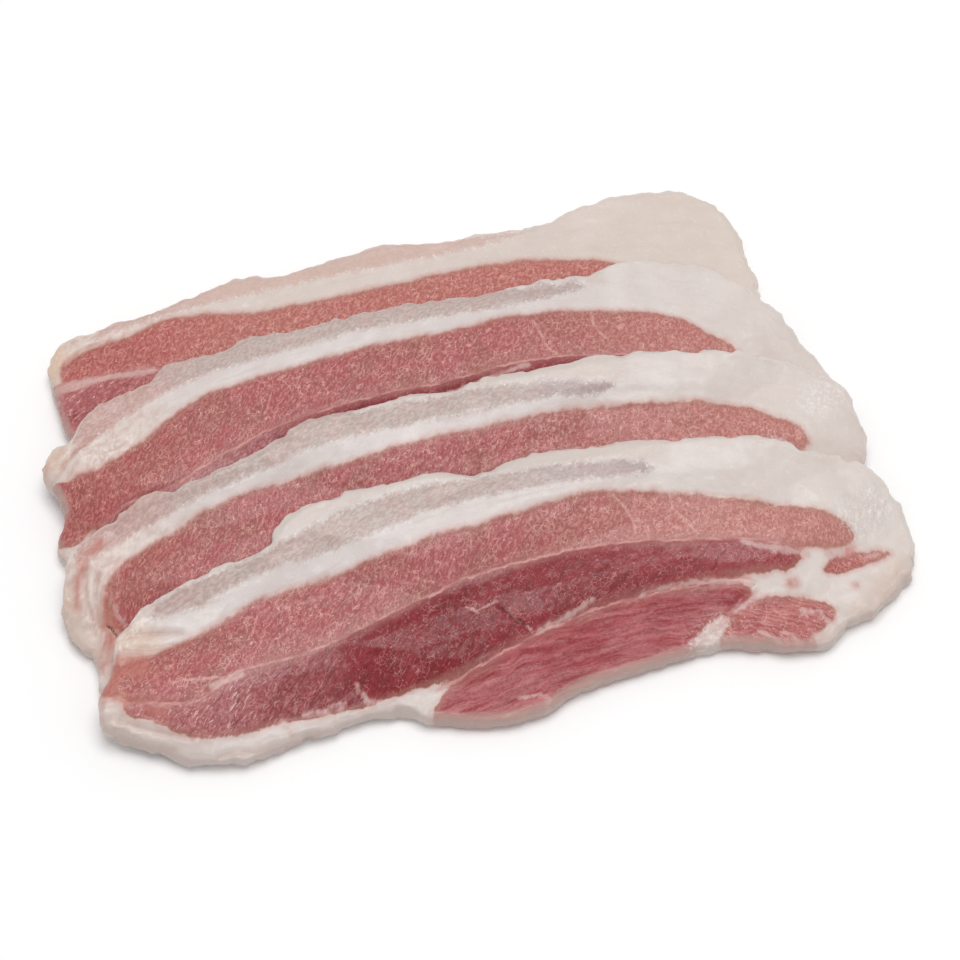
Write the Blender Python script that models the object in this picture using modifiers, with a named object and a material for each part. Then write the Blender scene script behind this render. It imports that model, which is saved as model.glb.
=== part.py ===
"""Four raw slices of pork belly, laid one over the next like shingles.

Each slice is a flat slab cut to its outline, with its muscles cut out of the fat as pieces that run
right through it. Slice 1 lies flat at the back. Each later slice drapes over the ones below it and
comes down to the table at its near edge, so slice 4, at the front, lies on top and shows whole.

Sizes are in millimetres and the meshes in metres. +X runs along the slices, +Y towards the skin side
at the back, and +Z up. The origin is at the centre of the pile's footprint.
"""

import bmesh
import bpy
import numpy as np
from mathutils import Vector, noise

MM = 0.001

# Driving sizes
SLICE_THICKNESS = 6.0
RIM_ROUNDING = 1.5  # what the knife's edge loses at top and bottom
LAYER_GAP = 0.4  # between a slice and the one below it
SEAM_GAP = 0.3  # between a muscle and the fat round it
SEAM_WIDTH = 1.7  # from one muscle to the next
DRAPE_REACH = 18.0  # how far past an edge a slice takes to come down

# Sides to each stretch between two outline points, and the wandering of a hand-cut edge
SLICE_STEPS = 3
MUSCLE_STEPS = 2
EDGE_WANDER = 0.6
WANDER_LENGTH = 11.0
WANDER_SEED = 4

# The lattice that the flat slabs are divided on before they are draped, turned to run with the slices.
# Its lines across them are closer at the right, where each slice steps down past the one below.
SLICE_SLANT = np.radians(16)
LATTICE_REACH = 140.0
ACROSS_STEP = 12.0
ACROSS_STEP_RIGHT = 5.0
RIGHT_FROM = 62.0
ALONG_STEP = 5.5

# The field of heights that the drape is worked out on
FIELD_CELL = 1.5
FIELD_LOW = (-130.0, -100.0)
FIELD_HIGH = (130.0, 115.0)

# What counts as a flat cap, as a corner to round and as one point
CAP_FACING = 0.99
CORNER_ANGLE = np.radians(60)
SAME_POINT = 0.01
ON_LINE = 0.02

# Slice 4 at the front: its far edge and ends from left to right, then its near edge back
FRONT_FAR_EDGE = [
    (-88, -66), (-89, -60), (-86.5, -54.5), (-86, -46), (-83, -41.5), (-76, -36), (-70, -33), (-59, -27),
    (-52, -24), (-48, -18), (-43, -13), (-36, -10), (-19, -6), (-10, -4), (-2, -4), (10, 1), (24, 4),
    (48, 6), (68, 7), (78, 5), (92, 3), (101, -3.5), (105, -13), (106, -20),
]
FRONT_NEAR_EDGE = [
    (98, -31), (88, -39), (81, -43.5), (67, -43.5), (57.5, -43), (43, -48), (28, -53), (9, -62.5), (-9, -63.5),
    (-19, -61), (-38, -67), (-47, -71), (-61, -74), (-78, -71),
]
FRONT_LENGTH = (-90, 106)

# The muscles of slice 4, each as its far side from left to right and its near side back
FRONT_LEAN_1 = (
    [(-86, -54), (-77, -50), (-66, -45), (-52, -36), (-33, -29), (-14, -22), (5, -16), (24, -9), (43, -7.5),
     (62, -9), (78, -10.5), (87, -13)],
    [(90, -16), (84, -19.2), (72, -18.7), (54, -17.7), (29, -19.3), (10, -24.3), (-5, -29.7), (-24, -39.7),
     (-42, -48.7), (-57, -53.5), (-65, -60), (-75, -61.2), (-85, -59.5)],
)
FRONT_LEAN_2_LEFT = [(-82.5, -63.3)]
FRONT_LEAN_2_NEAR = [
    (77, -22.5), (66, -26), (53, -28), (33, -33), (17, -40), (0, -50), (-14, -56), (-28, -60.5), (-47, -65),
    (-57, -68), (-67, -69), (-76, -65.5),
]
FRONT_LEAN_3 = (
    [(-10, -60.5), (-5, -55.5), (3, -50.2), (17, -42), (33, -35), (53, -30), (60, -29.3)],
    [(64.5, -30), (58.5, -35.5), (51.5, -41), (49, -51), (36, -54), (19, -62), (9, -67), (-9, -68)],
)
FRONT_LEAN_4 = (
    [(58.5, -47), (58.7, -39.5), (62, -35), (67, -32), (74, -31.8), (80, -32.5)],
    [(84.5, -34.5), (83, -38.5), (79.5, -41), (79, -47)],
)
FRONT_LEAN_5 = (
    [(83, -24.5), (88, -21.5), (94, -19.2)],
    [(98.5, -19.3), (94, -21.7), (88, -24.2)],
)

# The slices behind it. What the next slice covers is the front slice's near part, set back.
BACK_SLICES = [
    {
        "far_edge": [
            (-101, 12), (-104, 18), (-105, 24), (-107.5, 30), (-108, 36), (-104, 41.5), (-96, 45.5), (-83, 51),
            (-71, 57), (-59, 61.5), (-53, 61.5), (-43, 65), (-35, 68), (-20, 72), (-5, 73), (6, 76), (15, 78),
            (26, 83), (43, 88), (57, 86.5), (64, 79), (68.5, 68), (71.5, 57), (71, 49),
        ],
        "length": (-108, 71),
        "set_back": (73, 72),
        "lean_2_left": [(-101.5, 14), (-102.5, 20), (-101.5, 25.5)],
        "lean_1": (
            [(-104.5, 30), (-104, 34), (-98, 39), (-88, 43), (-78, 48.5), (-56, 50), (-35, 55), (-20, 59),
             (0, 64), (20, 66), (35, 65), (48, 61)],
            [(56, 56), (40, 57), (20, 54), (0, 49), (-20, 44), (-40, 39), (-60, 35.5), (-79, 34), (-90, 33),
             (-97, 30.3), (-103, 27.5)],
        ),
    },
    {
        "far_edge": [
            (-99, -22), (-102, -15), (-101, -10), (-103, -5), (-107, 1), (-105, 7.5), (-101, 9.5), (-98, 15),
            (-91, 21), (-82, 26), (-78.5, 31), (-74, 33), (-64, 35), (-59, 39), (-45, 42), (-35, 45),
            (-20, 49), (0, 52), (10, 55), (28, 58), (33, 61), (56, 61), (63, 57), (73, 50), (80, 42),
            (86, 35), (89, 24),
        ],
        "length": (-107, 89),
        "set_back": (46, 49),
        "lean_2_left": [],
        "lean_1": (
            [(-102, -12), (-102, -4), (-92, 1), (-81, 9), (-74, 17), (-59, 25), (-45, 30), (-30, 35),
             (-12, 39), (10, 45), (35, 46), (50, 44), (59, 38)],
            [(64, 35), (54, 34), (30, 34.5), (7, 31.5), (-10, 26), (-20, 24), (-34, 20), (-49, 14), (-59, 8),
             (-68, 2), (-73, -2), (-85, -7), (-95, -14)],
        ),
    },
    {
        "far_edge": [
            (-90.5, -49), (-96.5, -43), (-99.5, -37), (-99.5, -29), (-98, -23), (-94, -17.5), (-86, -12),
            (-80, -8), (-72, -6), (-60, 0), (-53, 3), (-47, 8), (-39, 13), (-24, 16), (-15, 19), (-10, 19),
            (0, 23), (20, 27), (30, 30), (59, 32), (72, 32), (79, 31), (87, 26.5), (93, 20), (95, 12),
            (94.5, 5),
        ],
        "length": (-100, 94.5),
        "set_back": (13, 27),
        "lean_2_left": [],
        "lean_1": (
            [(-87, -40), (-89, -32), (-84, -25), (-70, -15), (-60, -9), (-46, -4), (-29, 1), (-10, 7),
             (5, 11), (24, 16), (45, 17.5), (64, 18), (74, 14.5)],
            [(80, 9), (72, 6), (54, 6), (24, 4), (5, -1), (-14, -8), (-33, -14), (-50, -24), (-65, -32),
             (-78, -40)],
        ),
    },
]

# Colours as seen, in sRGB
FAT_COLOUR = "#d8cbc6"
LEAN_COLOURS = {
    "lean_1": "#b4736e",
    "lean_2": "#94494e",
    "lean_3": "#a85c5f",
    "lean_4": "#b87270",
    "lean_5": "#ba7e7d",
}
WET_ROUGHNESS = 0.38


def clear_scene():
    for obj in list(bpy.data.objects):
        bpy.data.objects.remove(obj, do_unlink=True)


def linear(hex_colour):
    channels = [int(hex_colour[i:i + 2], 16) / 255 for i in (1, 3, 5)]
    return [c / 12.92 if c <= 0.04045 else ((c + 0.055) / 1.055) ** 2.4 for c in channels]


def make_material(name, hex_colour):
    material = bpy.data.materials.new(name)
    material.use_nodes = True
    shader = material.node_tree.nodes["Principled BSDF"]
    shader.inputs["Base Color"].default_value = (*linear(hex_colour), 1.0)
    shader.inputs["Roughness"].default_value = WET_ROUGHNESS
    shader.inputs["Metallic"].default_value = 0.0
    return material


def make_collection(name):
    collection = bpy.data.collections.new(name)
    bpy.context.scene.collection.children.link(collection)
    return collection


# ---------------------------------------------------------------- outlines and flat pieces


def set_back(points, slice_data):
    """Points of the front slice moved to where a slice behind it has them."""
    low, high = slice_data["length"]
    left, right = slice_data["set_back"]
    moved = []
    for x, y in points:
        along = (x - FRONT_LENGTH[0]) / (FRONT_LENGTH[1] - FRONT_LENGTH[0])
        moved.append((low + along * (high - low), y + left + along * (right - left)))
    return moved


def across_the_seam(near_side):
    """The far side of the next muscle, a seam away from this one's near side, from left to right."""
    return [(x, y - SEAM_WIDTH) for x, y in reversed(near_side[2:-1])]


def all_slices():
    """Each slice as its outline and its muscles' outlines, back to front."""
    slices = []
    for data in BACK_SLICES:
        far_side, near_side = data["lean_1"]
        slices.append({
            "outline": data["far_edge"] + set_back(FRONT_NEAR_EDGE[1:], data),
            "lean_1": far_side + near_side,
            "lean_2": data["lean_2_left"] + across_the_seam(near_side) + set_back(FRONT_LEAN_2_NEAR, data),
            "lean_3": set_back(FRONT_LEAN_3[0] + FRONT_LEAN_3[1], data),
        })
    slices.append({
        "outline": FRONT_FAR_EDGE + FRONT_NEAR_EDGE,
        "lean_1": FRONT_LEAN_1[0] + FRONT_LEAN_1[1],
        "lean_2": FRONT_LEAN_2_LEFT + across_the_seam(FRONT_LEAN_1[1]) + FRONT_LEAN_2_NEAR,
        "lean_3": FRONT_LEAN_3[0] + FRONT_LEAN_3[1],
        "lean_4": FRONT_LEAN_4[0] + FRONT_LEAN_4[1],
        "lean_5": FRONT_LEAN_5[0] + FRONT_LEAN_5[1],
    })
    return slices


def merge_flat_faces(bm):
    """Each flat cap becomes one face, so that the lattice divides it cleanly."""
    caps = [face for face in bm.faces if abs(face.normal.z) > CAP_FACING]
    inner = [edge for edge in bm.edges if len(edge.link_faces) == 2 and all(f in caps for f in edge.link_faces)]
    bmesh.ops.dissolve_edges(bm, edges=inner, use_verts=False)


def flat_piece(name, points, steps, low, high, grow=0.0):
    """A closed flat-sided piece from a smooth outline, between two heights."""
    curve = bpy.data.curves.new(name, "CURVE")
    curve.dimensions = "2D"
    curve.fill_mode = "BOTH"
    curve.resolution_u = steps
    curve.extrude = (high - low) / 2 * MM
    curve.offset = grow * MM
    spline = curve.splines.new("BEZIER")
    spline.bezier_points.add(len(points) - 1)
    for control, (x, y) in zip(spline.bezier_points, points):
        control.co = (x * MM, y * MM, 0.0)
        control.handle_left_type = control.handle_right_type = "AUTO"
    spline.use_cyclic_u = True
    guide = bpy.data.objects.new(name + "_guide", curve)
    bpy.context.scene.collection.objects.link(guide)
    graph = bpy.context.evaluated_depsgraph_get()
    mesh = bpy.data.meshes.new_from_object(guide.evaluated_get(graph))
    bpy.data.objects.remove(guide, do_unlink=True)

    bm = bmesh.new()
    bm.from_mesh(mesh)
    bmesh.ops.remove_doubles(bm, verts=bm.verts, dist=SAME_POINT * MM)
    merge_flat_faces(bm)
    bmesh.ops.translate(bm, verts=bm.verts, vec=(0, 0, (high + low) / 2 * MM))
    bmesh.ops.recalc_face_normals(bm, faces=bm.faces)
    bm.to_mesh(mesh)
    bm.free()
    return bpy.data.objects.new(name, mesh)


def wander(obj, seed):
    """Moves the outline in and out a little, as a hand-cut edge runs."""
    for vertex in obj.data.vertices:
        place = Vector((vertex.co.x, vertex.co.y, 0)) / (WANDER_LENGTH * MM) + Vector((0, 0, seed))
        shift = noise.noise_vector(place) * EDGE_WANDER * MM
        vertex.co.x += shift.x
        vertex.co.y += shift.y


def evaluated_copy(obj, name):
    """The object's mesh with its modifiers applied, on a new object."""
    bpy.context.view_layer.update()
    graph = bpy.context.evaluated_depsgraph_get()
    return bpy.data.objects.new(name, bpy.data.meshes.new_from_object(obj.evaluated_get(graph)))


def add_boolean(obj, cutter, operation):
    cut = obj.modifiers.new(operation.lower(), "BOOLEAN")
    cut.operation = operation
    cut.object = cutter


# ---------------------------------------------------------------- the drape


class Heights:
    """A height for each cell of a grid over the table."""

    def __init__(self):
        x = np.arange(FIELD_LOW[0], FIELD_HIGH[0], FIELD_CELL)
        y = np.arange(FIELD_LOW[1], FIELD_HIGH[1], FIELD_CELL)
        self.x, self.y = np.meshgrid(x, y, indexing="ij")
        self.z = np.zeros_like(self.x)

    def inside(self, outline):
        """Which cells lie within a closed outline, by counting the crossings of a ray."""
        within = np.zeros(self.x.shape, bool)
        for (x0, y0), (x1, y1) in zip(outline, outline[1:] + outline[:1]):
            if y0 == y1:
                continue
            spans = (y0 > self.y) != (y1 > self.y)
            left = self.x < (x1 - x0) * (self.y - y0) / (y1 - y0) + x0
            within ^= spans & left
        return within

    def draped(self):
        """The underside of a soft slice laid over these heights: level on them, then down in a bell."""
        reach = int(np.ceil(DRAPE_REACH / FIELD_CELL))
        over = Heights()
        for i in range(-reach, reach + 1):
            for j in range(-reach, reach + 1):
                away = np.hypot(i, j) * FIELD_CELL
                if away < DRAPE_REACH:
                    bell = 0.5 * (1 + np.cos(np.pi * away / DRAPE_REACH))
                    over.z = np.maximum(over.z, np.roll(self.z, (i, j), (0, 1)) * bell)
        return over

    def at(self, x, y):
        """The height at a point, between the four cells round it."""
        across = (x - FIELD_LOW[0]) / FIELD_CELL
        back = (y - FIELD_LOW[1]) / FIELD_CELL
        i, j = int(across), int(back)
        a, b = across - i, back - j
        near = self.z[i, j] * (1 - a) + self.z[i + 1, j] * a
        far = self.z[i, j + 1] * (1 - a) + self.z[i + 1, j + 1] * a
        return near * (1 - b) + far * b


def lattice_lines():
    """The lines that every flat piece is divided on, each as a point on it and the direction across it."""
    lengthwise = Vector((np.cos(SLICE_SLANT), np.sin(SLICE_SLANT), 0))
    crosswise = Vector((-np.sin(SLICE_SLANT), np.cos(SLICE_SLANT), 0))
    coarse = np.arange(-LATTICE_REACH, RIGHT_FROM, ACROSS_STEP)
    fine = np.arange(RIGHT_FROM, LATTICE_REACH, ACROSS_STEP_RIGHT)
    lines = [(lengthwise * place * MM, lengthwise) for place in (*coarse, *fine)]
    rows = np.arange(-LATTICE_REACH, LATTICE_REACH, ALONG_STEP)
    return lines + [(crosswise * place * MM, crosswise) for place in rows]


def divide_on_lattice(bm):
    """Cuts the flat top and bottom along lines that are the same for every piece."""
    for on_line, across in lattice_lines():
        caps = [face for face in bm.faces if abs(face.normal.z) > CAP_FACING]
        edges = dict.fromkeys(edge for face in caps for edge in face.edges)
        corners = dict.fromkeys(vertex for face in caps for vertex in face.verts)
        bmesh.ops.bisect_plane(
            bm, geom=[*corners, *edges, *caps], dist=ON_LINE * MM, plane_co=on_line, plane_no=across)


def drape(obj, underside):
    """Divides a flat piece and lowers or lifts each point onto the slices below."""
    bm = bmesh.new()
    bm.from_mesh(obj.data)
    merge_flat_faces(bm)
    divide_on_lattice(bm)
    bmesh.ops.triangulate(bm, faces=bm.faces, quad_method="FIXED", ngon_method="BEAUTY")
    for vertex in bm.verts:
        vertex.co.z += underside.at(vertex.co.x / MM, vertex.co.y / MM) * MM
    bm.to_mesh(obj.data)
    bm.free()


def rim_of(slab):
    """The slab's outline in millimetres, read from its bottom face."""
    bottom = min(slab.data.polygons, key=lambda face: face.normal.z)
    return [tuple(slab.data.vertices[i].co.xy / MM) for i in bottom.vertices]


# ---------------------------------------------------------------- the pile


def cut_slice(number, outlines):
    """The flat pieces of one slice by name, and its outline."""
    scene = bpy.context.scene.collection
    slab = flat_piece(f"slab_{number}", outlines["outline"], SLICE_STEPS, 0, SLICE_THICKNESS)
    wander(slab, number)
    outline = rim_of(slab)
    rounding = slab.modifiers.new("rounded_rim", "BEVEL")
    rounding.width = RIM_ROUNDING * MM
    rounding.segments = 1
    rounding.limit_method = "ANGLE"
    rounding.angle_limit = CORNER_ANGLE
    scene.objects.link(slab)

    pieces = {}
    helpers = [slab]
    fat = slab.copy()
    scene.objects.link(fat)
    helpers.append(fat)
    for muscle, points in outlines.items():
        if muscle == "outline":
            continue
        below, above = -SLICE_THICKNESS, 2 * SLICE_THICKNESS
        inner = flat_piece(muscle, points, MUSCLE_STEPS, below, above)
        outer = flat_piece(muscle + "_pocket", points, MUSCLE_STEPS, below, above, SEAM_GAP)
        lean = slab.copy()
        for helper in (inner, outer, lean):
            scene.objects.link(helper)
            helpers.append(helper)
        add_boolean(lean, inner, "INTERSECT")
        add_boolean(fat, outer, "DIFFERENCE")
        pieces[muscle] = evaluated_copy(lean, f"slice_{number}_{muscle}")
    pieces["fat"] = evaluated_copy(fat, f"slice_{number}_fat")
    for helper in helpers:
        bpy.data.objects.remove(helper, do_unlink=True)
    return pieces, outline


def stand_on_origin(objects):
    """Moves the whole pile so that the middle of its footprint is at the origin."""
    corners = np.array([vertex.co for obj in objects for vertex in obj.data.vertices])
    middle = (corners.min(axis=0) + corners.max(axis=0)) / 2
    for obj in objects:
        for vertex in obj.data.vertices:
            vertex.co.x -= middle[0]
            vertex.co.y -= middle[1]


def build():
    clear_scene()
    noise.seed_set(WANDER_SEED)
    pile = make_collection("sliced_pork_belly")
    heights = Heights()
    finished = []
    for number, outlines in enumerate(all_slices(), start=1):
        pieces, outline = cut_slice(number, outlines)
        underside = heights.draped()
        for layer, obj in pieces.items():
            drape(obj, underside)
            obj.data.materials.clear()
            obj.data.materials.append(make_material(obj.name, LEAN_COLOURS.get(layer, FAT_COLOUR)))
            obj.data.shade_flat()
            pile.objects.link(obj)
            finished.append(obj)
        top = underside.z + SLICE_THICKNESS + LAYER_GAP
        heights.z = np.maximum(heights.z, np.where(heights.inside(outline), top, 0.0))
    stand_on_origin(finished)


build()
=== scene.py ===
# %% [markdown]
# # Sliced pork belly
# Four raw slices of pork belly lie one over the next like shingles. Each is a soft slab, 6 mm thick, cut
# across the animal: skin side at the back, then a thin sheet of muscle, a stripe of white fat and up to
# five muscles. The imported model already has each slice's true outline and drape, so it is opened first and
# kept as the frame. Everything here is in metres, with the table at z = 0, +X along the slices and +Y
# towards the skin side.

# %% Open the frame
import math
from itertools import product

import bpy
import numpy as np
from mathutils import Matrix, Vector
from mathutils.kdtree import KDTree


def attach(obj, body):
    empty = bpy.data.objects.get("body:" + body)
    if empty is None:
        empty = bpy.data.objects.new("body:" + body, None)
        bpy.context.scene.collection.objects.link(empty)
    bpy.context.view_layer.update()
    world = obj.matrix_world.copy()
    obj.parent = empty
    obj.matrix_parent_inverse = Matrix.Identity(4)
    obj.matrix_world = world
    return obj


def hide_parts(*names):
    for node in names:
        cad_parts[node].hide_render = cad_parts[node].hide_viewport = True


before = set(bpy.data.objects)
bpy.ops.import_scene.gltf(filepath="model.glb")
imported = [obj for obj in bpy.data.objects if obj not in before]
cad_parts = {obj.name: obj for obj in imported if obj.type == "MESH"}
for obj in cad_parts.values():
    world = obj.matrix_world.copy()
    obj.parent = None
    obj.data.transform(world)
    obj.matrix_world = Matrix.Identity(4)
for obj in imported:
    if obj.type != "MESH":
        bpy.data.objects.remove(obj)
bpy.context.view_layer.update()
MM = 0.001
SLICES = (1, 2, 3, 4)

# %% [markdown]
# ## Camera
# The photograph looks down on the slices at 60 degrees, from far enough away that they hardly shrink
# towards the back. A long lens from 750 mm gives that. The camera comes first because the finishes are
# judged through it.

# %% Camera
CAMERA_ELEVATION = math.radians(60)
CAMERA_DISTANCE = 750 * MM
LOOKS_AT = Vector((1.13, -7.21, 8.0)) * MM
SENSOR_WIDTH = 36.0
PICTURE_WIDTH = 960
PIXELS_PER_MM = 4.1  # of the photograph, at the middle of the slices

backwards = Vector((0, -math.cos(CAMERA_ELEVATION), math.sin(CAMERA_ELEVATION)))
bpy.ops.object.camera_add(
    location=LOOKS_AT + backwards * CAMERA_DISTANCE,
    rotation=(math.pi / 2 - CAMERA_ELEVATION, 0, 0))
camera = bpy.context.object
camera.data.sensor_width = SENSOR_WIDTH
camera.data.lens = PIXELS_PER_MM * CAMERA_DISTANCE / MM / PICTURE_WIDTH * SENSOR_WIDTH
bpy.context.scene.camera = camera
print("lens in mm:", round(camera.data.lens, 1))

# %% [markdown]
# ## Floor and light
# Raw meat looks grey under hard light and plastic under a small lamp. One broad panel overhead, a little
# behind the slices, gives the wet surfaces soft highlights, and a white sky fills the shadows. The view
# transform is Standard, so that a colour read from the real thing can be used as it is.

# %% Floor and light
PANEL_SIDE = 0.75
PANEL_AT = Vector((0.05, 0.06, 1.3))
PANEL_POWER = 9.2
SKY_STRENGTH = 0.55
FLOOR_SIDE = 6.0
FLOOR_BELOW = 0.05 * MM


def aim(direction):
    """The rotation that points a lamp along a direction."""
    return direction.to_track_quat("-Z", "Y").to_euler()


bpy.ops.object.light_add(type="AREA", location=PANEL_AT, rotation=aim(LOOKS_AT - PANEL_AT))
panel = bpy.context.object
panel.data.size = PANEL_SIDE
panel.data.energy = PANEL_POWER

sky = bpy.data.worlds.new("studio")
sky.use_nodes = True
sky.node_tree.nodes["Background"].inputs["Color"].default_value = (1.0, 1.0, 1.0, 1.0)
sky.node_tree.nodes["Background"].inputs["Strength"].default_value = SKY_STRENGTH
bpy.context.scene.world = sky
bpy.context.scene.view_settings.view_transform = "Standard"

bpy.ops.mesh.primitive_plane_add(size=FLOOR_SIDE, location=(0, 0, -FLOOR_BELOW))
floor = bpy.context.object
floor.name = "floor"
print("panel", PANEL_SIDE, "m wide,", PANEL_POWER, "W")

# %% [markdown]
# ## Where the muscles lie
# On the real slice, fat and muscle are one piece of tissue that only changes colour and feel across a
# seam. The frame has each muscle as its own solid, so the outline of a muscle, seen from above, can be
# read from the edge of its top face. Later every point of a slice is told how deep inside a muscle it
# lies, and the finish is painted by that depth.

# %% Outlines of the muscles
FACING_UP = 0.5


def top_outline(node):
    """The edge of a node's top face from above, as starts and ends of segments in millimetres."""
    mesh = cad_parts[node].data
    place = {}
    seen = {}
    for face in mesh.polygons:
        if face.normal.z < FACING_UP:
            continue
        keys = []
        for index in face.vertices:
            point = mesh.vertices[index].co / MM
            key = (round(point.x, 3), round(point.y, 3))
            place[key] = (point.x, point.y)
            keys.append(key)
        for a, b in zip(keys, keys[1:] + keys[:1]):
            edge = (min(a, b), max(a, b))
            seen[edge] = seen.get(edge, 0) + 1
    rim = [edge for edge, count in seen.items() if count == 1]
    return np.array([place[a] for a, _ in rim]), np.array([place[b] for _, b in rim])


def nodes_of(number):
    """The nodes of one slice, its fat first."""
    names = sorted(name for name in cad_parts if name.startswith(f"slice_{number}_"))
    return sorted(names, key=lambda name: not name.endswith("fat"))


for number in SLICES:
    print("slice", number, {name: len(top_outline(name)[0]) for name in nodes_of(number)[1:]})

# %% [markdown]
# ## How far a point is from a line
# Muscles, cracks and creases are all lines seen from above, so one function measures the distance to the
# nearest of many short segments. Whether a point is inside an outline follows from counting how often a
# ray from it crosses the outline: an odd number means inside.

# %% Distances to lines
POINTS_AT_ONCE = 20000


def distance_to(points, starts, ends):
    """Each point's distance to the nearest segment, in millimetres."""
    along = ends - starts
    length_squared = np.maximum((along ** 2).sum(axis=1), 1e-9)
    nearest = np.empty(len(points))
    for first in range(0, len(points), POINTS_AT_ONCE):
        some = points[first:first + POINTS_AT_ONCE, None, :] - starts
        part = np.clip((some * along).sum(axis=2) / length_squared, 0, 1)
        gap = some - part[..., None] * along
        nearest[first:first + POINTS_AT_ONCE] = np.sqrt((gap ** 2).sum(axis=2).min(axis=1))
    return nearest


def depth_inside(points, starts, ends):
    """How deep each point lies inside an outline, negative outside it."""
    crossings = np.zeros(len(points), bool)
    for (x0, y0), (x1, y1) in zip(starts, ends):
        if y0 != y1:
            spans = (y0 > points[:, 1]) != (y1 > points[:, 1])
            crossings ^= spans & (points[:, 0] < (x1 - x0) * (points[:, 1] - y0) / (y1 - y0) + x0)
    return np.where(crossings, 1, -1) * distance_to(points, starts, ends)


def distance_to_path(points, path):
    """Each point's distance to an open line through the path's points."""
    path = np.array(path, float)
    return distance_to(points, path[:-1], path[1:])


print("depth at the middle of a 10 mm square:", depth_inside(
    np.array([[5.0, 5.0]]),
    np.array([[0.0, 0], [10, 0], [10, 10], [0, 10]]),
    np.array([[10.0, 0], [10, 10], [0, 10], [0, 0]])))

# %% [markdown]
# ## Soft bumps
# Flesh is never flat: it swells and sinks over a few millimetres, at several sizes at once. Random
# heights on a coarse lattice, blended smoothly between its corners, give bumps of any size wanted. The
# lattice comes from a fixed seed, so the slices are the same each time the file is run.

# %% Soft noise
LATTICE = 64
FAR_FROM_ZERO = 512


def ease(value, low, high):
    """0 below low, 1 above high, and a smooth slope between them."""
    part = np.clip((value - low) / (high - low), 0, 1)
    return part * part * (3 - 2 * part)


def soft_noise(points, size, seed):
    """Smooth bumps from -1 to 1, about size millimetres wide."""
    table = np.random.default_rng(seed).uniform(-1, 1, (LATTICE,) * 3)
    place = points / size + FAR_FROM_ZERO
    cell = np.floor(place).astype(int)
    part = ease(place - cell, 0, 1)
    total = np.zeros(len(points))
    for corner in product((0, 1), repeat=3):
        i, j, k = ((cell + corner) % LATTICE).T
        weight = np.prod(np.where(corner, part, 1 - part), axis=1)
        total += weight * table[i, j, k]
    return total


def layered_noise(points, *layers):
    """Soft noises added up, as (weight, size, seed) for each."""
    return sum(weight * soft_noise(points, size, seed) for weight, size, seed in layers)


def bell(distance, width):
    """1 at no distance, and falling off softly over a width."""
    return np.exp(-(distance / width) ** 2)


print("noise at three points:", soft_noise(np.eye(3), 4.0, seed=1).round(2))

# %% [markdown]
# ## One closed slice
# The fat and its muscles are separate solids with a hair's gap between them. A slice could be painted on
# those, but the gaps would show as cuts. So copies of them are swollen until they touch, joined, and
# wrapped in one even mesh by the Remesh modifier, which also makes faces small enough for fine relief.
# Then the swelling is taken off again, and a light smoothing removes the steps that voxels leave.

# %% Model the slices
SWELLING = 0.25 * MM
VOXEL = 0.56 * MM
SAME_POINT = 0.001 * MM
SMOOTHING_ROUNDS = 4


def choose(*objects):
    """Selects these objects alone, the first one active."""
    bpy.ops.object.select_all(action="DESELECT")
    for each in objects:
        each.select_set(True)
    bpy.context.view_layer.objects.active = objects[0]


def finish_with(piece, kind, **settings):
    """Adds a modifier with its settings and applies it."""
    choose(piece)
    modifier = piece.modifiers.new(kind.lower(), kind)
    for name, value in settings.items():
        setattr(modifier, name, value)
    bpy.ops.object.modifier_apply(modifier=modifier.name)


def merged_copy(node):
    """A node's mesh on an object of its own, with its loose triangles merged."""
    piece = bpy.data.objects.new(f"{node}_copy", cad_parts[node].data.copy())
    bpy.context.scene.collection.objects.link(piece)
    choose(piece)
    bpy.ops.object.mode_set(mode="EDIT")
    bpy.ops.mesh.select_all(action="SELECT")
    bpy.ops.mesh.remove_doubles(threshold=SAME_POINT)
    bpy.ops.object.mode_set(mode="OBJECT")
    return piece


def model_slice(number):
    copies = [merged_copy(node) for node in nodes_of(number)]
    for piece in copies:
        finish_with(piece, "DISPLACE", strength=SWELLING, mid_level=0.0)
    choose(*copies)
    bpy.ops.object.join()
    whole = bpy.context.object
    finish_with(whole, "REMESH", mode="VOXEL", voxel_size=VOXEL)
    finish_with(whole, "DISPLACE", strength=-SWELLING, mid_level=0.0)
    finish_with(whole, "SMOOTH", factor=0.5, iterations=SMOOTHING_ROUNDS)
    whole.name = whole.data.name = f"pork_belly_slice_{number}"
    whole.data.materials.clear()
    return whole


slices = {number: model_slice(number) for number in SLICES}
for number, piece in slices.items():
    print("slice", number, "has", len(piece.data.polygons), "faces")

# %% [markdown]
# ## What each point knows
# The finish needs to know where it is: how deep in a muscle and which one, how far from the cut rim, how
# far along the slice. These are measured once for every vertex and kept in arrays here. A fibre follows
# the slice, which is bowed, so places along and across are measured from a curve through the middle of
# the long first muscle.

# %% Measure every vertex
WALL_STEEPER_THAN = 0.35
NO_SUCH_MUSCLE = -99.0  # its depth in a slice that lacks it


def vectors_of(layer, name):
    flat = np.empty(len(layer) * 3)
    layer.foreach_get(name, flat)
    return flat.reshape(-1, 3)


def grain_places(points, node):
    """Millimetres along and across the slice, measured from the bow of its first muscle, and its height."""
    starts, _ = top_outline(node)
    bow = np.polyfit(starts[:, 0], starts[:, 1], 3)
    slope = np.polyval(np.polyder(bow), points[:, 0])
    across = (points[:, 1] - np.polyval(bow, points[:, 0])) / np.sqrt(1 + slope ** 2)
    along = points[:, 0] * np.sqrt(1 + slope ** 2)
    return np.stack([along, across, points[:, 2]], axis=1)


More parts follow.
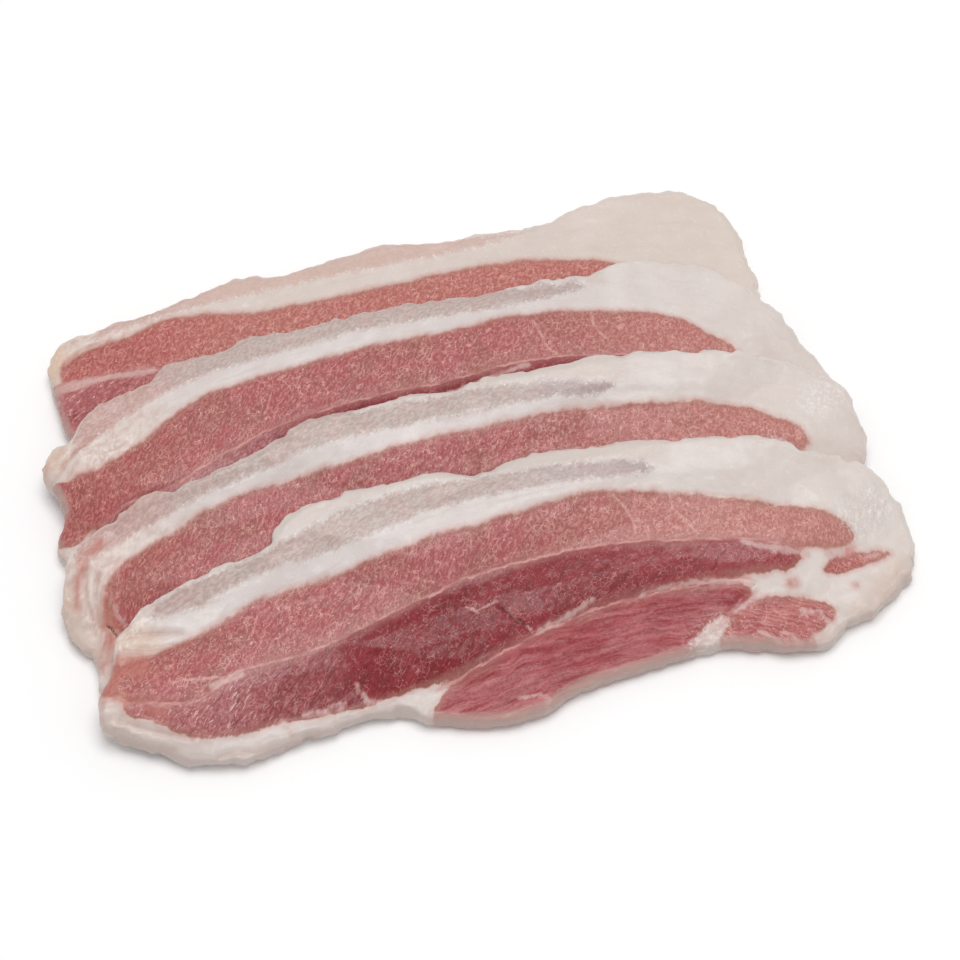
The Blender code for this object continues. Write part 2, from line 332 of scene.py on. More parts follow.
def rim_distance(points, normals):
    """How far each vertex is from the cut wall round the slice, seen from above, and where that faces."""
    on_wall = np.abs(normals[:, 2]) < WALL_STEEPER_THAN
    wall, facing = points[on_wall], normals[on_wall]
    walls = KDTree(len(wall))
    for index, point in enumerate(wall):
        walls.insert((point[0], point[1], 0), index)
    walls.balance()
    found = [walls.find((x, y, 0)) for x, y in points[:, :2]]
    distances = np.array([distance for _, _, distance in found])
    return distances, facing[[index for _, index, _ in found]] * (1, 1, 0)


def measure(number):
    """What each vertex of a slice knows about its place, as arrays by name."""
    mesh = slices[number].data
    points = vectors_of(mesh.vertices, "co") / MM
    normals = vectors_of(mesh.vertex_normals, "vector")
    plan = points[:, :2]
    muscles = nodes_of(number)[1:]
    depths = {node[-1]: depth_inside(plan, *top_outline(node)) for node in muscles}
    ranked = np.sort(np.stack(list(depths.values())), axis=0)
    outside = np.full(len(points), NO_SUCH_MUSCLE)
    pale = np.maximum.reduce([depths["1"], depths.get("4", outside), depths.get("5", outside)])
    rim, facing = rim_distance(points, normals)
    return {
        "points": points,
        "plan": plan,
        "up": normals[:, 2],
        "lean": ranked[-1],
        "second": ranked[-2],
        "pale": pale,
        "dark": depths["2"],
        "flank": depths["3"],
        "rim": rim,
        "facing": facing,
        "near_side": ease(-facing[:, 1], -0.1, 0.5),
        "grain": grain_places(points, muscles[0]),
    }


known = {number: measure(number) for number in SLICES}
for number, facts in known.items():
    print("slice", number, "deepest muscle", round(facts["lean"].max(), 1), "mm")

# %% [markdown]
# ## The thin sheet of muscle
# Between the skin side and the white stripe runs a sheet of muscle so thin that it looks grey and
# glassy, not red. It has no solid of its own. Its far and near edges are given here at a few places
# along each slice, and every vertex is told how deep it lies between them. Where the sheet reaches the
# rim, its far edge is put well past the rim.

# %% The thin sheet of muscle
BEYOND = 99  # an edge past the rim
PAST_THE_ENDS = 4
SHEET_EDGES = {  # x, y of the far edge, y of the near edge, in millimetres
    1: [(-95, BEYOND, 35), (-82, BEYOND, 41), (-57, BEYOND, 48.5), (-32, BEYOND, 55),
        (-7, 65, 61), (4, 66.5, 64), (12, 67, 67)],
    2: [(-98, BEYOND, -3), (-86, BEYOND, 8.5), (-68, BEYOND, 20), (-56, BEYOND, 24.5),
        (-31, BEYOND, 33), (-6, 44, 38), (12, 46.5, 41.5), (25, 48, 45), (29, 46.5, 46.5)],
    3: [(-95, BEYOND, -33), (-84, BEYOND, -26.5), (-66, BEYOND, -16),
        (-42, BEYOND, -4.5), (-30, 6, -1), (-18, 8.5, 2), (6, 13.5, 8), (24, 15.5, 12),
        (31, 15.5, 13), (34, 14.5, 14.5)],
    4: [(-76, -45, -48), (-65, -39, -45.5), (-58, -36, -41), (-50, -32, -36.5), (-40, -26, -33),
        (-25, -19, -28), (-12, -14.5, -22), (0, -13, -18.5), (18, -9.5, -14), (36, -7.3, -11),
        (41, -7.5, -10.5), (43.5, -9, -9)],
}


def sheet_depth(number):
    """How deep each vertex lies between the sheet's two edges, negative outside, and how far beyond them."""
    x, y = known[number]["plan"].T
    rows = np.array(SHEET_EDGES[number], float)
    far = np.interp(x, rows[:, 0], rows[:, 1])
    near = np.interp(x, rows[:, 0], rows[:, 2])
    ends = np.minimum(x - rows[0, 0], rows[-1, 0] - x)
    return np.minimum(np.minimum(far - y, y - near), ends), np.minimum(y - far, ends + PAST_THE_ENDS)


for number in SLICES:
    known[number]["sheet"], known[number]["beyond"] = sheet_depth(number)
    print("slice", number, "sheet is", round(2 * min(known[number]["sheet"].max(), 9), 1), "mm wide at most")

# %% [markdown]
# ## Cracks, folds and pale marks
# Some marks are large enough to be known one by one: cracks where bundles of a muscle part, the crease
# where the third slice's left end tucks in, folds in the soft fat, strands of fat that reach into the
# muscles, veins, and stains of juice or yellow fat. Each is a short line or a spot, in millimetres from
# above. A vertex keeps its distance to the nearest one, so that a thin line stays thin.

# %% Marks known one by one
FAINT = -0.28  # a half width below nothing leaves only a trace
CRACKS = {
    3: [[(-87.5, -46.5), (-86.5, -47), (-86, -48), (-85, -49)]],
    4: [(0.12, [(6, -43.5), (7.5, -45.5), (9.5, -47.5), (11, -48), (12, -48.5)]),
        (FAINT, [(15.5, -54), (20, -54), (23, -55), (25, -56.5)]),
        (FAINT, [(23, -50), (26, -51), (29.5, -51.5)]),
        (FAINT, [(10.5, -54), (13, -55), (15, -54)]),
        (FAINT, [(67, -36), (65, -37.5), (62.5, -40), (60, -42.5)])],
}
FOLDS = {
    1: [[(-103, 27), (-99, 31), (-93, 34)]],
    2: [[(-103, -9), (-99, -3), (-93, 3)]],
    3: [[(-93, -32), (-93, -36.5), (-92.5, -41), (-91, -45)],
        [(-90, -35.5), (-90.5, -39.5), (-90, -43.5), (-89, -47)],
        [(-87, -42), (-86.6, -46), (-87.2, -50), (-88.5, -57)]],
    4: [[(-82.5, -73), (-78, -74.5), (-72.5, -75.5), (-66, -76.5)],
        [(-84, -76.5), (-79.5, -77.5), (-71, -79.5)],
        [(-60, -80.5), (-55, -79), (-50, -78.8), (-43, -76.5), (-37, -74)],
        [(-82, -52.5), (-76, -51.5), (-69, -51.5)],
        [(-82.5, -55.5), (-76, -55.5), (-71, -54.5)]],
}
FAT_STRANDS = {  # half width, then the path
    1: [(1.3, [(-104, 20), (-96, 22.5)]), (0.8, [(-96, 22.5), (-89.5, 24), (-80.5, 25.5)])],
    2: [(0.4, [(-43, -1.8), (-30.5, 3.6), (-18.5, 9.2)]),
        (0.6, [(-18.5, 9.2), (-5, 15.2), (7.5, 21), (13, 23.5)])],
    3: [(0.5, [(-86.5, -41.5), (-85.5, -43.5), (-84.5, -45), (-83.5, -46.5)])],
    4: [(0.8, [(-61.5, -65), (-57.5, -63.2), (-54.5, -61.8)]),
        (0.6, [(-45, -72), (-43.5, -73), (-42.5, -75)]),
        (0.4, [(-40, -70), (-37, -69), (-34, -69.5), (-36, -71)]),
        (0.2, [(39.5, -39.5), (43, -38), (47, -37)]),
        (0.45, [(47, -37), (51.5, -36), (56.5, -35.5), (62, -35.5), (66, -36)]),
        (0.6, [(64, -26.5), (67.5, -27.5), (71, -28)]),
        (0.9, [(71, -28), (75.5, -28.5), (79.5, -28.5)]),
        (0.35, [(-27.8, -62.6), (-27.3, -64.2), (-25.8, -65.4)]),
        (0.35, [(-35.5, -69.0), (-33.2, -67.2), (-30.6, -66.9), (-31.5, -68.4)]),
        (0.5, [(-25.5, -66.3), (-22, -67)]),
        (0.5, [(15, -49.6), (21, -46.2), (27.8, -41.5)]),
        (0.5, [(78, -42), (82.5, -42.5), (84.5, -45.5), (84, -48.5), (81.5, -49)]),
        (1.2, [(81.5, -49), (80.5, -51)]),
        (0.6, [(68, -48), (70, -49), (72, -50.5)]),
        (0.7, [(73.5, -48), (75.5, -49), (77, -51)]),
        (1.4, [(59.5, -44.8), (56, -48), (52, -51)]),
        (0.45, [(10.5, -65.2), (15, -64.5), (17.8, -65.5), (16.5, -67.5)]),
        (0.5, [(94, -27.9), (97.5, -26.8)]), (0.35, [(62, -42.5), (64, -41), (66, -39.5), (69, -38.7)])],
}
VEINS = {
    2: [[(14, 36.5), (16.5, 31.5), (18, 28), (21, 26)], [(29, 39), (29.5, 34.5), (32.5, 31)]],
    3: [[(26, -4.5), (28.5, -7), (30, -9)], [(34.5, -4), (31.5, -7.5), (30, -9.5)]],
    4: [[(-71.5, -64.5), (-67.5, -63.5), (-60, -63)], [(33, -15.5), (36, -18.5), (38, -21.5), (38.5, -24.5)],
        [(46.5, -14.5), (47.5, -18), (50.5, -21), (53.5, -24.5)],
        [(1, -45), (3, -44), (5, -43)], [(-2, -44.5), (-0.5, -45), (0.5, -46)], [(12, -48.5), (13.5, -50)]],
}
JUICE_STAINS = {  # half width, then the path
    2: [(0.6, [(-105.5, -6.5), (-104.8, -4.5)])],
    3: [(0.9, [(-90, -27), (-93, -32), (-94.8, -37.5), (-95, -42)]),
        (2.0, [(-87, -42), (-87, -50), (-88, -56.5)])],
    4: [(3.0, [(-87, -66), (-84.5, -60), (-79, -60)]), (1.6, [(-85, -66.5), (-79, -69.5), (-73, -71)]),
        (1.2, [(75.5, -35.6), (76.2, -35.4)]),
        (0.6, [(91, -35.5), (91.5, -35.3)]), (-0.1, [(59, -45.5), (56, -48.5), (53, -51.5)])],
}
YELLOW_FAT = {
    1: [(4.0, [(-106, 28), (-106.5, 23.5), (-104, 19)])],
    2: [(3.0, [(-105, -6), (-103.5, -1.5)])],
    3: [(3.0, [(-97.5, -43), (-95, -50), (-91, -55)])],
    4: [(3.0, [(101.5, -31.5), (98.5, -37), (93, -43)]), (3.5, [(-82, -53), (-77, -54)])],
}
GROWS_THICKER = {  # half width of the part of a pale muscle that bulges into the fat, then the path
    4: [(1.5, [(87.5, -30.2), (90, -29.2), (92.5, -28.3)])],
}
REACHES_THE_RIM = {  # where muscle runs out to the cut wall
    1: [(5.0, [(-104.5, 16), (-103, 11), (-101.5, 6)])],
    2: [(4.5, [(-102, -14), (-100.5, -18), (-99.5, -21)])],
    4: [(2.5, [(-87, -65), (-86, -62)])],
}
WET_PATCHES = {
    2: [(3.0, [(-92, -3), (-86, 1)])],
    3: [(4.0, [(83, 13), (87, 15)]), (3.5, [(66, -3), (74, -0.5)])],
    4: [(5.0, [(92, -19), (97, -15)]), (3.0, [(58, -46), (53, -50)]), (2.0, [(-84, -55), (-78, -48)])],
}
NO_MARK = 12.0
CRACK_WIDTH = 0.4
RIM_GROWTH = 4.5
BULGE = 1.1


def near_paths(number, table):
    """Distance in millimetres to the nearest path of a table, less its half width where it has one."""
    plan = known[number]["plan"]
    nearest = np.full(len(plan), NO_MARK)
    for entry in table.get(number, []):
        half_width, path = entry if isinstance(entry, tuple) else (0.0, entry)
        nearest = np.minimum(nearest, distance_to_path(plan, path) - half_width)
    return nearest


def soft_mask(distance, edge):
    return 1 - ease(distance, -edge, edge)


for number in SLICES:
    facts = known[number]
    facts["crack"] = near_paths(number, CRACKS)
    facts["fold"] = near_paths(number, FOLDS)
    facts["strand"] = near_paths(number, FAT_STRANDS)
    facts["vein"] = near_paths(number, VEINS)
    facts["stain"] = soft_mask(near_paths(number, JUICE_STAINS), 1.6)
    facts["yellow"] = soft_mask(near_paths(number, YELLOW_FAT), 2.5) * (1.0 if number == 1 else 0.55)
    facts["wet"] = soft_mask(near_paths(number, WET_PATCHES), 2.5)
    growth = RIM_GROWTH * soft_mask(near_paths(number, REACHES_THE_RIM), 1.5)
    for name in ("pale", "dark", "flank", "lean"):
        facts[name] = facts[name] + growth
    for name in ("pale", "lean"):
        facts[name] = facts[name] + BULGE * soft_mask(near_paths(number, GROWS_THICKER), 1.5)
    print("slice", number, "vertices in a crack:", int((facts["crack"] < CRACK_WIDTH).sum()))

# %% [markdown]
# ## Relief
# Fine shadows sell the softness. The same broad swelling runs through the whole pile, so that slices
# keep their distance. On top of that, each muscle crowns a little between its seams and has its own
# grain, the fat lumps and folds at the left ends, and cracks sink in. Round the rim, soft fat leaves the
# knife with a raised lip, notches and level creases on the wall, and the front slice keeps a flat top up
# to a clean shoulder. All of it moves vertices, as a sculptor would, and none of it moves the slice.

# %% Relief on each slice
SWELL = 0.30
SWELL_SIZE = 17
CROWN = 0.24
CROWN_WIDTH = 4
SEAM_DEPTH = 0.14
LEAN_GRAIN = 0.11
FAT_GRAIN = 0.16
LIP = 0.30
LIP_WIDTH = 1.6
RAGGED = 0.9
RAGGED_WIDTH = 2.0
NOTCH = 1.5
NOTCH_SIZE = 3.0
LEFT_LUMPS = 0.75
RIGHT_LUMPS = 0.35
NEAR_LUMPS = 0.55
FOLD_DEPTH = 0.45
FOLD_WIDTH = 0.7
BANK_AT = 1.4  # the soft bank on both sides of a fold
BANK_WIDTH = 0.9
CRACK_DEPTH = 0.40
STRAND_RISE = 0.12
WET_ROUGH = 0.18
SHOULDER = 0.5
SHOULDER_WIDTH = 1.8
WALL_CREASES = 0.28


def ragged_rim(number):
    """Sideways wandering of the rim, which a knife leaves in soft fat and less in firm muscle."""
    facts = known[number]
    softness = 1 - 0.55 * ease(facts["lean"], -1, 0.5)
    near_rim = (softness * bell(facts["rim"], RAGGED_WIDTH))[:, None]
    points = facts["points"] * (1, 1, 0.4)
    shift = np.zeros((len(points), 3))
    for axis in (0, 1):
        seed = 10 * number + axis
        shift[:, axis] = layered_noise(points, (0.7, 6, seed), (0.5, 2.8, seed + 3), (0.3, 1.4, seed + 6))
    notches = np.maximum(soft_noise(points, NOTCH_SIZE, 10 * number + 9) - 0.25, 0)[:, None]
    level = facts["points"] * (0.16, 0.16, 1)
    creases = layered_noise(level, (1, 1.3, 44), (0.6, 0.8, 45))[:, None]
    return near_rim * (RAGGED * shift + (WALL_CREASES * creases - NOTCH * notches) * facts["facing"])


def raised(number):
    """How much each vertex of the upper side rises."""
    facts = known[number]
    points, grain, lean = facts["points"], facts["grain"], facts["lean"]
    fat = 1 - ease(lean, -0.6, 0.4)
    left = ease(-points[:, 0], 66, 88) * fat
    between = ease(facts["second"], -2.6, -1.0) * (1 - ease(lean, -0.5, 0.3))
    fine = layered_noise(grain, (1, 1.9, 31), (0.8, 1.1, 32))
    fibres = soft_noise(grain * (0.14, 1.2, 1), 1.4, 33) + 0.6 * soft_noise(grain * (0.2, 1.9, 1), 1.3, 39)
    flank = ease(facts["flank"], -0.3, 0.8)
    rise = CROWN * (ease(lean, 0, CROWN_WIDTH) - 0.4)
    rise -= SEAM_DEPTH * between
    rise += LEAN_GRAIN * (1 - fat) * np.where(flank > 0.5, 1.6 * fibres, fine)
    rise += LIP * bell(facts["rim"], LIP_WIDTH) * (0.8 + 0.8 * soft_noise(points, 4, 34)) * fat
    rise += LEFT_LUMPS * left * layered_noise(
        points, (0.7, 8, 35), (0.4, 3.2, 36), (0.3, 1.7, 41), (0.16, 1.1, 46))
    rise += RIGHT_LUMPS * ease(points[:, 0], 30, 70) * fat * soft_noise(points, 7, 37)
    near = facts["near_side"] * (1 - ease(facts["rim"], 5, 10)) * fat
    rise += NEAR_LUMPS * near * layered_noise(points, (0.6, 4.5, 42), (0.4, 1.9, 43))
    rise += FAT_GRAIN * fat * (soft_noise(grain * (0.25, 1, 1), 2.4, 38) + 0.4 * fine)
    if number == SLICES[-1]:
        rise += SHOULDER * facts["near_side"] * (1 - ease(facts["rim"], 0, SHOULDER_WIDTH))
    rise += STRAND_RISE * soft_mask(facts["strand"], 0.4)
    rise += WET_ROUGH * facts["wet"] * fine
    rise -= FOLD_DEPTH * bell(facts["fold"], FOLD_WIDTH)
    rise += 0.5 * FOLD_DEPTH * bell(facts["fold"] - BANK_AT, BANK_WIDTH)
    rise -= CRACK_DEPTH * bell(facts["crack"], CRACK_WIDTH)
    return rise


def carve(number):
    facts = known[number]
    points = facts["points"]
    above_table = ease(points[:, 2], 0.3, 2.5)
    upper = ease(facts["up"], 0.1, 0.6)
    moved = points + ragged_rim(number)
    moved[:, 2] += above_table * SWELL * soft_noise(points * (1, 1, 0), SWELL_SIZE, 40)
    moved[:, 2] += upper * above_table * raised(number)
    moved[:, 2] = np.maximum(moved[:, 2], 0.0)
    slices[number].data.vertices.foreach_set("co", (moved * MM).ravel())
    slices[number].data.update()
    return np.abs(moved - points).max()


for number in SLICES:
    print("slice", number, "carved by", round(carve(number), 2), "mm at most")

# %% [markdown]
# ## Hand the measures to the materials
# A material can read a number kept on each vertex through an Attribute node, so each measure that the
# finish needs is written there. Patterns finer than the mesh are left to the material's own noise. Some
# numbers say where along the pile a point is, because the left ends of real slices are stained by juice,
# muscle pales towards the right, and the slice at the back is the most orange.

# %% Attributes
def write(piece, name, kind, member, values):
    layer = piece.data.attributes.new(name, kind, "POINT")
    layer.data.foreach_set(member, np.asarray(values, np.float32).ravel())


def keep_measures(number):
    """Writes a slice's measures to its vertices, and gives the names of those that are numbers."""
    piece, facts = slices[number], known[number]
    points, rim, near_side = facts["points"], facts["rim"], facts["near_side"]
    x = points[:, 0] + 6 * soft_noise(points, 12, 50)
    left_end = ease(-x, 58, 92)
    numbers = {name: np.clip(facts[name], -NO_MARK, NO_MARK)
               for name in ("pale", "dark", "flank", "sheet", "strand", "vein", "crack", "fold")}
    numbers |= {name: facts[name] for name in ("stain", "yellow", "wet")}
    numbers |= {
        "between": ease(facts["second"], -3.0, -1.2),
        "beyond": ease(facts["beyond"], -0.5, 1.5),
        "small": ease(points[:, 0], 56, 60) * ease(-points[:, 1], 26, 29),
        "lip": (1 - ease(rim, 2.0, 6.5)) * near_side,
        "ledge": (1 - ease(rim, 0.9, 2.4)) * near_side,
        # where a painted highlight goes along the far rim
        "far_rim_highlight": (1 - ease(rim, 0.2, 1.3)) * (1 - near_side),
        "left": left_end,
        "leftward": ease(-x, 22, 72),
        "right": ease(x, -10, 80),
        "orange": (1 - 0.6 * left_end) * (number == 1),
        "pink_sheet": np.maximum(left_end, 1.0 if number == 1 else 0.0),
        # steep walls, most on the near side: a membrane film and painted shade
        "wall": (1 - ease(np.abs(facts["up"]), 0.35, 0.8)) * (0.3 + 0.7 * near_side),
    }
    write(piece, "grain", "FLOAT_VECTOR", "vector", facts["grain"])
    for name, values in numbers.items():
        write(piece, name, "FLOAT", "value", values)
    return list(numbers)


for number in SLICES:
    numbers_kept = keep_measures(number)
    print("slice", number, "keeps", len(numbers_kept), "numbers on each vertex")

# %% [markdown]
# ## Small tools for the materials
# The slices share one material, whose tree of nodes is started here. Colours are read from the real thing
# as sRGB hex, which a renderer needs as linear numbers. One function adds a node with its settings and its
# inputs. An input is a value, a colour in hex, or what feeds it: a socket, or a node, which stands for its
# first output in use.

# %% Tools for the materials
COLOUR_MIX = {"data_type": "RGBA"}
TINT = {"data_type": "RGBA", "blend_type": "MULTIPLY"}
FACTOR, FIRST, SECOND = 0, 6, 7  # the sockets of a Mix node that blends two colours
NUMBER_MIX = {"data_type": "FLOAT"}
ONE, OTHER = 2, 3  # the sockets of a Mix node that blends two numbers
SOFT_CUT = {"interpolation_type": "SMOOTHSTEP"}
PLUS, LESS, TIMES, TIMES_PLUS, LARGER, SIZE_OF = (
    {"operation": name} for name in ("ADD", "SUBTRACT", "MULTIPLY", "MULTIPLY_ADD", "MAXIMUM", "ABSOLUTE"))
pork = bpy.data.materials.new("raw_pork_belly_knife_cut")
pork.use_nodes = True
tree = pork.node_tree
tree.nodes.clear()


def linear(hex_colour):
    """An sRGB hex value as linear red, green, blue and alpha."""
    channels = [int(hex_colour[i:i + 2], 16) / 255 for i in (1, 3, 5)]
    return (*[c / 12.92 if c <= 0.04045 else ((c + 0.055) / 1.055) ** 2.4 for c in channels], 1.0)


def add_node(kind, settings=None, inputs=None):
    node = tree.nodes.new("ShaderNode" + kind)
    for name, value in (settings or {}).items():
        setattr(node, name, value)
    for socket, value in (inputs or {}).items():
        if isinstance(value, bpy.types.Node):
            value = next(output for output in value.outputs if output.enabled)
        if isinstance(value, bpy.types.NodeSocket):
            tree.links.new(value, node.inputs[socket])
        else:
            node.inputs[socket].default_value = linear(value) if isinstance(value, str) else value
    return node


print("white fat in linear:", [round(c, 3) for c in linear("#dbd2ce")])

# %% [markdown]
# ## Patterns of flesh
# Nearly every pattern in meat is a kind of grain: noise of a known size, cut softly between two of its
# levels, so that it becomes specks or blotches. Noise stays near 0.5, so a cut from 0.36 to 0.64 covers
# half of the surface, and one from 0.6 to 0.72 leaves a few specks. Drawn out along a direction, the same
# noise becomes threads. Bent by a slower noise, it stops looking like a computer's.

# %% Grains, threads and bends
HALF = (0.36, 0.64)


def grains(place, size, low, high, seed, detail=2.0):
    """Specks or blotches about size millimetres wide: 0 below one level of a noise and 1 above another."""
    moved = add_node("VectorMath", PLUS, {0: place, 1: (31.7 * seed, 17.3 * seed, 5.1 * seed)})
    noise = add_node("TexNoise", None, {
        "Vector": moved, "Scale": 0.5 / size, "Detail": detail, "Roughness": 0.6})
    return add_node("MapRange", SOFT_CUT, {"Value": noise, "From Min": low, "From Max": high})


def threads(place, slant, length, width, low, high, seed):
    """Grains drawn out into threads, turned by a slant from the slice's length."""
    turned = add_node("VectorRotate", {"rotation_type": "Z_AXIS"}, {"Vector": place, "Angle": -slant})
    drawn = add_node("VectorMath", TIMES, {0: turned, 1: (width / length, 1.0, width / length)})
    return grains(drawn, width, low, high, seed)


def bend(place, size, reach):
    """Places pushed about by a noise of this size, by up to half this reach in millimetres."""
    drift = add_node("TexNoise", None, {"Vector": place, "Scale": 0.5 / size, "Detail": 1.0})
    centred = add_node("VectorMath", LESS, {0: drift.outputs["Color"], 1: (0.5, 0.5, 0.5)})
    return add_node("VectorMath", TIMES_PLUS, {0: centred, 1: (reach, reach, reach), 2: place})


def wandering(measure, place, steps):
    """A measure in millimetres with noise added to it, as (size, reach, seed) for each step."""
    total = measure
    for size, reach, seed in steps:
        noise = grains(place, size, 0.2, 0.8, seed)
        scaled = add_node("Math", TIMES_PLUS, {0: noise, 1: 2 * reach, 2: total})
        total = add_node("Math", LESS, {0: scaled, 1: reach})
    return total


print("patterns ready")

# %% [markdown]
# ## Washes of colour
# A painter builds flesh from thin washes, and so do these finishes. A wash is one colour laid over what is
# there, as strongly as a mask and a share say. Some masks are patterns. Others follow a measure, such as
# the distance to a crack, and fade in from one of its values to another.

# %% Washes
def washes(colour, layers):
    """Thin colours laid one over the other, as (mask, share, sRGB hex) for each."""
    for mask, share, hex_colour in layers:
        strength = add_node("Math", TIMES, {0: mask, 1: share})
        colour = add_node("Mix", COLOUR_MIX, {FACTOR: strength, FIRST: colour, SECOND: hex_colour})
    return colour


def laid_along(colour, measure, none, full, share, over):
    """A colour over another, from nothing where a measure is none up to its share where it is full."""
    mask = add_node("MapRange", SOFT_CUT, {
        "Value": measure, "From Min": none, "From Max": full, "To Max": share})
    return add_node("Mix", COLOUR_MIX, {FACTOR: mask, FIRST: colour, SECOND: over})


def deeper_in(one, other):
    """1 where a point lies deeper in one muscle than in the other, and soft between them."""
    gap = add_node("Math", LESS, {0: one, 1: other})
    return add_node("MapRange", SOFT_CUT, {"Value": gap, "From Min": -0.6, "From Max": 0.6})


print("washes ready")

# %% [markdown]
# ## Muscle cut across its bundles
# The first muscle is cut nearly straight across, so its bundles show as short upright grains, under half a
# millimetre wide, with small curved films of tissue between them and pale sparks painted in as highlights
# of wet grain. The films are borders of Voronoi cells, of which only pieces are kept. It drifts between a
# browner and a redder pink, and the small muscles at the right are cut along, so their grains lie level.

# %% Pale muscle
BUNDLE = 1.5
GRANULE = 0.38
BUNDLE_SLANT = math.radians(72)
FILM_EDGE = 0.08


def films(place, bent, bundle, seed):
    """Pieces of the thin curved films between bundles about this many millimetres wide."""
    cells = add_node("TexVoronoi", {"feature": "DISTANCE_TO_EDGE"}, {"Vector": bent, "Scale": 1.0 / bundle})
    border = add_node("MapRange", SOFT_CUT, {"Value": cells, "From Min": FILM_EDGE, "From Max": 0.0})
    return add_node("Math", TIMES, {0: border, 1: grains(place, 1.3, 0.48, 0.60, seed)})


def pale_muscle(place, bent, at):
    """Colour of the pale first muscle and the small ones at the right, and the height of its grains."""
    blotches = grains(place, 3.6, *HALF, seed=1)
    upright = threads(bent, BUNDLE_SLANT, 1.4 * GRANULE, GRANULE, 0.38, 0.68, seed=2)
    level = threads(bent, 0.0, 7 * GRANULE, GRANULE, 0.38, 0.68, seed=5)
    light = add_node("Mix", NUMBER_MIX, {FACTOR: at["small"], ONE: upright, OTHER: level})
    # Pale sparks: painted highlights of wet grain.
    painted_sparkles = grains(bent, 0.34, 0.61, 0.73, seed=3)
    film = films(place, bent, BUNDLE, seed=4)

    tone = add_node("Mix", COLOUR_MIX, {FACTOR: blotches, FIRST: "#a8635c", SECOND: "#b85d61"})
    meat = washes(tone, [
        (at["right"], 1.0, "#cd8b80"), (at["small"], 1.0, "#b65f5c"), (at["orange"], 0.75, "#cd7f70")])
    grainy = add_node("Mix", COLOUR_MIX, {FACTOR: light, FIRST: "#813739", SECOND: "#d19690"})
    mottled = add_node("Mix", COLOUR_MIX, {FACTOR: 0.44, FIRST: meat, SECOND: grainy})
    speckled = washes(mottled, [(film, 0.6, "#e6b3a8"), (painted_sparkles, 0.55, "#eec3b9")])
    return speckled, light


print("bundles of", BUNDLE, "mm, granules of", GRANULE, "mm")

# %% [markdown]
# ## Dark muscle
# The second muscle is the deep red one that works hardest. Its bundles are cut at a slant, so short pale
# strokes of connective tissue lie askew in it, with darker strokes and films between them. It is paler
# beside the first muscle and towards the left end, where bright slanted strokes are painted highlights of
# wet tissue. Pale sparks all over it are painted highlights too.

# %% Dark muscle
STROKE_SLANT = math.radians(42)
STROKE_LENGTH = 1.5
STROKE_WIDTH = 0.36


def dark_muscle(place, bent, swayed, at):
    """Colour of the deep red second muscle, and the height of its strokes."""
    blotches = grains(place, 4.0, *HALF, seed=11)
    light = grains(bent, GRANULE, 0.40, 0.70, seed=12)
    pale_strokes = threads(swayed, STROKE_SLANT, STROKE_LENGTH, STROKE_WIDTH, 0.59, 0.72, seed=13)
    dark_strokes = threads(swayed, STROKE_SLANT, 2.4 * STROKE_LENGTH, STROKE_WIDTH, 0.52, 0.70, seed=14)
    # Bright slanted strokes towards the left end, and pale sparks: painted highlights of wet tissue.
    glint_strokes = threads(bent, STROKE_SLANT, 0.7 * STROKE_LENGTH, 0.8 * STROKE_WIDTH, 0.59, 0.67, seed=16)
    painted_sparkles = grains(bent, 0.30, 0.62, 0.72, seed=15)
    film = films(place, bent, 0.85 * BUNDLE, seed=17)
    ends = add_node("Math", LARGER, {0: at["leftward"], 1: at["right"]})
    left_light = add_node("Math", TIMES, {0: light, 1: at["leftward"]})
    painted_left_glints = add_node("Math", TIMES, {0: glint_strokes, 1: at["leftward"]})

    tone = add_node("Mix", COLOUR_MIX, {FACTOR: blotches, FIRST: "#760a15", SECOND: "#8e1a26"})
    ended = washes(tone, [(ends, 0.75, "#bb6467")])
    grainy = add_node("Mix", COLOUR_MIX, {FACTOR: light, FIRST: "#690812", SECOND: "#a1373e"})
    mottled = add_node("Mix", COLOUR_MIX, {FACTOR: 0.5, FIRST: ended, SECOND: grainy})
    beside = laid_along(mottled, at["pale"], -5.0, -0.5, 0.13, "#b27c7b")
    speckled = washes(beside, [
        (at["leftward"], 0.27, "#b98082"), (left_light, 0.37, "#d8a8a6"), (dark_strokes, 0.6, "#64151d"),
        (pale_strokes, 0.4, "#cb8a8a"), (film, 0.42, "#d79a98"), (painted_left_glints, 0.65, "#ecc9c4"),
        (painted_sparkles, 0.42, "#dda9a8")])
    return speckled, pale_strokes


print("strokes of", STROKE_LENGTH, "mm, askew by", round(math.degrees(STROKE_SLANT)), "degrees")

# %% [markdown]
# ## Flank muscle
# The third muscle is cut along its fibres, so it shows long soft threads that follow the slice, bent
# here and there, with fine dark lines between bundles.

# %% Flank muscle
THREAD_LENGTH = 5.0
THREAD_WIDTH = 0.5


def flank_muscle(place, swayed):
    """Colour of the third muscle, and the height of its fibres."""
    light = threads(swayed, math.radians(4), THREAD_LENGTH, THREAD_WIDTH, 0.38, 0.66, seed=21)
    lines = threads(swayed, math.radians(-3), 1.4 * THREAD_LENGTH, THREAD_WIDTH, 0.56, 0.70, seed=22)
    blotches = grains(place, 4.5, *HALF, seed=23)
    fine = grains(place, GRANULE, 0.36, 0.68, seed=24)
    tone = add_node("Mix", COLOUR_MIX, {FACTOR: blotches, FIRST: "#922733", SECOND: "#a33941"})
    threaded = add_node("Mix", COLOUR_MIX, {FACTOR: light, FIRST: "#862129", SECOND: "#b96465"})
    mixed = add_node("Mix", COLOUR_MIX, {FACTOR: 0.5, FIRST: tone, SECOND: threaded})
    return washes(mixed, [(fine, 0.18, "#c78783"), (lines, 0.35, "#7a2b31")]), light


print("threads", THREAD_LENGTH, "mm long and", THREAD_WIDTH, "mm wide")

# %% [markdown]
# ## Fat
# Cold belly fat is a soft white with a touch of pink. Its connective tissue shows as faint streaks along
# the slice and tiny specks. It is pinker and blotched at the stained left ends, beige where it lies under
# the skin, yellower where it has dried at a rim, and juice from a muscle tints its edge.

